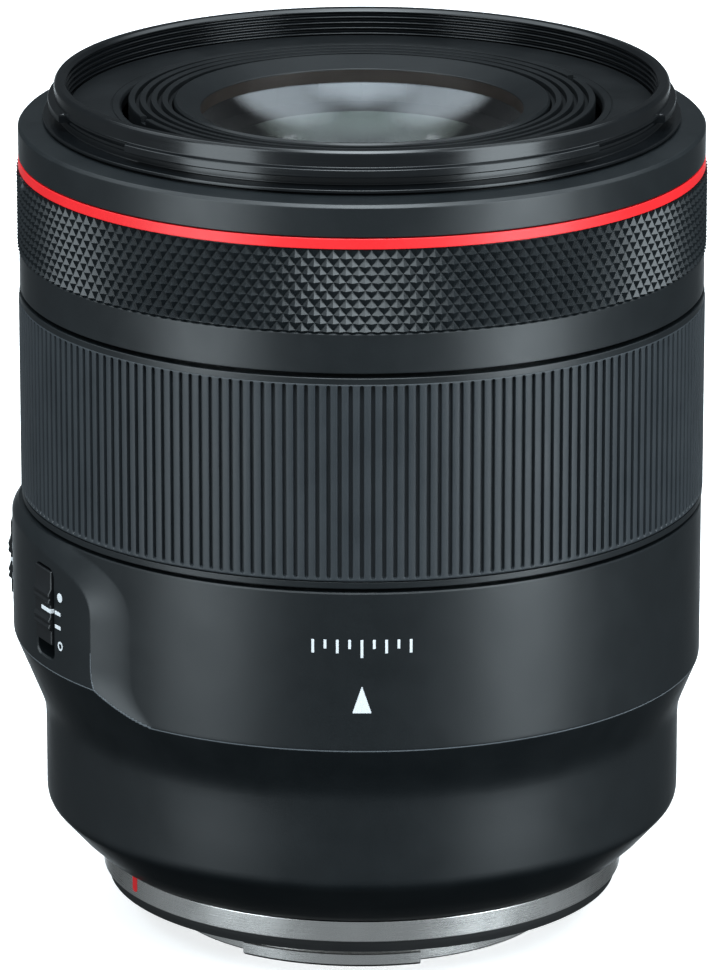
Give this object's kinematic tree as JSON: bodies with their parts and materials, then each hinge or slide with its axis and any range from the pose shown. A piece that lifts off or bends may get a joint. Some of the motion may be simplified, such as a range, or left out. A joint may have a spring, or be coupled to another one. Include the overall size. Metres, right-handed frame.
{
  "type": "prime camera lens",
  "caption": "Fast autofocus prime camera lens for a mirrorless bayonet: satin black barrel, knurled control ring, ribbed rubber focus ring, red trim ring and two slide switches.",
  "frame": {"origin": "on the optical axis, at the rear end plane of the bayonet, which the lens stands on", "axes": "+Z along the optical axis towards the front glass; -X towards the slide switches; -Y towards the side that the picture shows"},
  "size_m": [0.0921, 0.0904, 0.1135],
  "materials": {
    "satin_black": "satin black paint with a fine grain",
    "rim_black": "semi-gloss black anodised",
    "knurl_black": "black anodised, cut with a fine pyramid knurl",
    "red_accent": "satin red paint",
    "grip_rubber": "matt ribbed rubber",
    "seal_rubber": "matt moulded rubber",
    "mount_steel": "fine-turned, plated",
    "inner_alloy": "machined",
    "black_alloy": "black anodised, matt",
    "baffle_black": "deep matt black",
    "switch_plastic": "moulded, fine grain",
    "board_green": "solder resist",
    "contact_gold": "gold-plated",
    "spring_steel": "bright",
    "blade_steel": "blackened",
    "coated_glass": "polished, multi-layer coated"
  },
  "bodies": {
    "lens_body": {"filter_ring": "rim_black", "front_plate": "baffle_black", "front_barrel": "satin_black", "red_ring": "red_accent", "middle_barrel": "inner_alloy", "rear_barrel": "satin_black", "bayonet_mount": "mount_steel", "mount_seal": "seal_rubber", "contact_block": "switch_plastic", "contact_strip": "contact_gold", "rear_baffle": "baffle_black", "mount_screw_1": "spring_steel", "mount_screw_2": "spring_steel", "mount_screw_3": "spring_steel", "mount_screw_4": "spring_steel", "guide_barrel": "inner_alloy", "main_circuit_board": "board_green", "motor_stator": "contact_gold", "motor_spring": "spring_steel", "click_spring": "spring_steel", "switch_board": "board_green", "rear_group_barrel": "black_alloy", "rear_retaining_ring": "black_alloy", "aperture_base": "black_alloy", "aperture_cover": "black_alloy", "aperture_motor": "spring_steel", "glass_group_6": "coated_glass", "glass_group_7": "coated_glass", "glass_group_8": "coated_glass", "glass_group_9": "coated_glass"},
    "control_ring": {"control_ring": "knurl_black", "control_click_ring": "inner_alloy"},
    "focus_ring": {"focus_ring": "satin_black", "focus_grip": "grip_rubber", "focus_encoder_ring": "black_alloy"},
    "af_mf_switch": {"af_mf_switch": "switch_plastic"},
    "focus_limiter_switch": {"focus_limiter_switch": "switch_plastic"},
    "focus_drive": {"cam_barrel": "inner_alloy", "motor_rotor": "inner_alloy"},
    "front_group": {"front_group_barrel": "black_alloy", "ridged_baffle": "baffle_black", "front_retaining_ring": "satin_black", "glass_group_1": "coated_glass", "glass_group_2": "coated_glass", "glass_group_3": "coated_glass", "glass_group_4": "coated_glass", "glass_group_5": "coated_glass"},
    "aperture_drive_ring": {"aperture_drive_ring": "black_alloy"},
    "aperture_pinion": {"aperture_pinion": "contact_gold"},
    "aperture_blade_01": {"aperture_blade_01": "blade_steel"},
    "aperture_blade_02": {"aperture_blade_02": "blade_steel"},
    "aperture_blade_03": {"aperture_blade_03": "blade_steel"},
    "aperture_blade_04": {"aperture_blade_04": "blade_steel"},
    "aperture_blade_05": {"aperture_blade_05": "blade_steel"},
    "aperture_blade_06": {"aperture_blade_06": "blade_steel"},
    "aperture_blade_07": {"aperture_blade_07": "blade_steel"},
    "aperture_blade_08": {"aperture_blade_08": "blade_steel"},
    "aperture_blade_09": {"aperture_blade_09": "blade_steel"},
    "aperture_blade_10": {"aperture_blade_10": "blade_steel"}
  },
  "joints": [
    {"name": "control_ring_turn", "type": "hinge", "parent": "lens_body", "child": "control_ring", "pos_m": [0, 0, 0.0938], "axis": [0, 0, 1], "continuous": true},
    {"name": "focus_ring_turn", "type": "hinge", "parent": "lens_body", "child": "focus_ring", "pos_m": [0, 0, 0.0714], "axis": [0, 0, 1], "continuous": true},
    {"name": "af_mf_switch_slide", "type": "slide", "parent": "lens_body", "child": "af_mf_switch", "axis": [0, 0, 1], "range_m": [-0.002, 0]},
    {"name": "focus_limiter_switch_slide", "type": "slide", "parent": "lens_body", "child": "focus_limiter_switch", "axis": [0, 0, 1], "range_m": [-0.002, 0]},
    {"name": "focus_drive_turn", "type": "hinge", "parent": "lens_body", "child": "focus_drive", "pos_m": [0, 0, 0.072], "axis": [0, 0, 1], "range_deg": [0, 60]},
    {"name": "front_group_slide", "type": "slide", "parent": "lens_body", "child": "front_group", "axis": [0, 0, 1], "range_m": [0, 0.0024]},
    {"name": "aperture_ring_turn", "type": "hinge", "parent": "lens_body", "child": "aperture_drive_ring", "pos_m": [0, 0, 0.0614], "axis": [0, 0, 1], "range_deg": [0, 17.5]},
    {"name": "aperture_pinion_turn", "type": "hinge", "parent": "lens_body", "child": "aperture_pinion", "pos_m": [0.0154, 0.02667, 0.0609], "axis": [0, 0, 1], "range_deg": [-175, 0]},
    {"name": "aperture_blade_01_turn", "type": "hinge", "parent": "lens_body", "child": "aperture_blade_01", "pos_m": [0.025, 0, 0.05766], "axis": [0, 0, 1], "range_deg": [0, 35]},
    {"name": "aperture_blade_02_turn", "type": "hinge", "parent": "lens_body", "child": "aperture_blade_02", "pos_m": [0.02023, 0.01469, 0.05796], "axis": [0, 0, 1], "range_deg": [0, 35]},
    {"name": "aperture_blade_03_turn", "type": "hinge", "parent": "lens_body", "child": "aperture_blade_03", "pos_m": [0.00773, 0.02378, 0.05826], "axis": [0, 0, 1], "range_deg": [0, 35]},
    {"name": "aperture_blade_04_turn", "type": "hinge", "parent": "lens_body", "child": "aperture_blade_04", "pos_m": [-0.00773, 0.02378, 0.05856], "axis": [0, 0, 1], "range_deg": [0, 35]},
    {"name": "aperture_blade_05_turn", "type": "hinge", "parent": "lens_body", "child": "aperture_blade_05", "pos_m": [-0.02023, 0.01469, 0.05886], "axis": [0, 0, 1], "range_deg": [0, 35]},
    {"name": "aperture_blade_06_turn", "type": "hinge", "parent": "lens_body", "child": "aperture_blade_06", "pos_m": [-0.025, 0, 0.05916], "axis": [0, 0, 1], "range_deg": [0, 35]},
    {"name": "aperture_blade_07_turn", "type": "hinge", "parent": "lens_body", "child": "aperture_blade_07", "pos_m": [-0.02023, -0.01469, 0.05946], "axis": [0, 0, 1], "range_deg": [0, 35]},
    {"name": "aperture_blade_08_turn", "type": "hinge", "parent": "lens_body", "child": "aperture_blade_08", "pos_m": [-0.00773, -0.02378, 0.05976], "axis": [0, 0, 1], "range_deg": [0, 35]},
    {"name": "aperture_blade_09_turn", "type": "hinge", "parent": "lens_body", "child": "aperture_blade_09", "pos_m": [0.00773, -0.02378, 0.06006], "axis": [0, 0, 1], "range_deg": [0, 35]},
    {"name": "aperture_blade_10_turn", "type": "hinge", "parent": "lens_body", "child": "aperture_blade_10", "pos_m": [0.02023, -0.01469, 0.06036], "axis": [0, 0, 1], "range_deg": [0, 35]}
  ],
  "couplings": [
    {"joint": "front_group_slide", "follows": "focus_drive_turn", "m_per_rad": 0.0022918},
    {"joint": "aperture_pinion_turn", "follows": "aperture_ring_turn", "ratio": -10},
    {"joint": "aperture_blade_01_turn", "follows": "aperture_ring_turn", "ratio": 2},
    {"joint": "aperture_blade_02_turn", "follows": "aperture_ring_turn", "ratio": 2},
    {"joint": "aperture_blade_03_turn", "follows": "aperture_ring_turn", "ratio": 2},
    {"joint": "aperture_blade_04_turn", "follows": "aperture_ring_turn", "ratio": 2},
    {"joint": "aperture_blade_05_turn", "follows": "aperture_ring_turn", "ratio": 2},
    {"joint": "aperture_blade_06_turn", "follows": "aperture_ring_turn", "ratio": 2},
    {"joint": "aperture_blade_07_turn", "follows": "aperture_ring_turn", "ratio": 2},
    {"joint": "aperture_blade_08_turn", "follows": "aperture_ring_turn", "ratio": 2},
    {"joint": "aperture_blade_09_turn", "follows": "aperture_ring_turn", "ratio": 2},
    {"joint": "aperture_blade_10_turn", "follows": "aperture_ring_turn", "ratio": 2}
  ]
}
